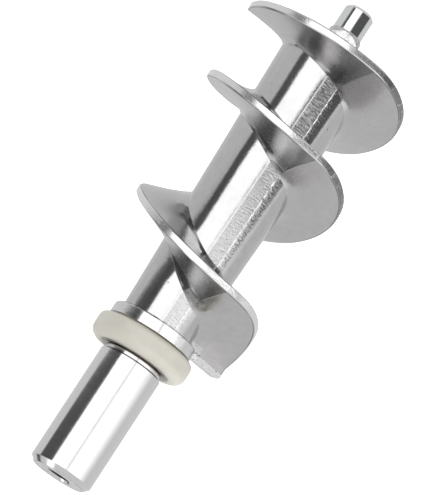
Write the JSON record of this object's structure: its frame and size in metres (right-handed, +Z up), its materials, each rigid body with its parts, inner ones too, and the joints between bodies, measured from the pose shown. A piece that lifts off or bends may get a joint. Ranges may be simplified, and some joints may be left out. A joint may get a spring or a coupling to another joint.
{
  "type": "meat grinder feed screw",
  "caption": "Feed screw of a hand crank meat grinder: conical hub with a left-hand flight, round rear journal, nylon thrust washer, and a steel stud with a square and a pilot pin.",
  "frame": {"origin": "on the screw's axis, at the middle of the rear journal", "axes": "+X along the screw's axis towards the knife; +Z up; +Y to the left when looking along +X"},
  "size_m": [0.1385, 0.0476, 0.0473],
  "materials": {
    "polished_casting": "polished casting, machined journal",
    "turned_steel": "turned and bright",
    "washer_nylon": "natural nylon, satin"
  },
  "bodies": {
    "screw": {"feed_screw": "polished_casting", "knife_stud": "turned_steel"},
    "washer": {"thrust_washer": "washer_nylon"}
  },
  "joints": [
    {"name": "washer_spin", "type": "hinge", "parent": "screw", "child": "washer", "pos_m": [0.0204, 0, 0], "axis": [1, 0, 0], "continuous": true}
  ]
}
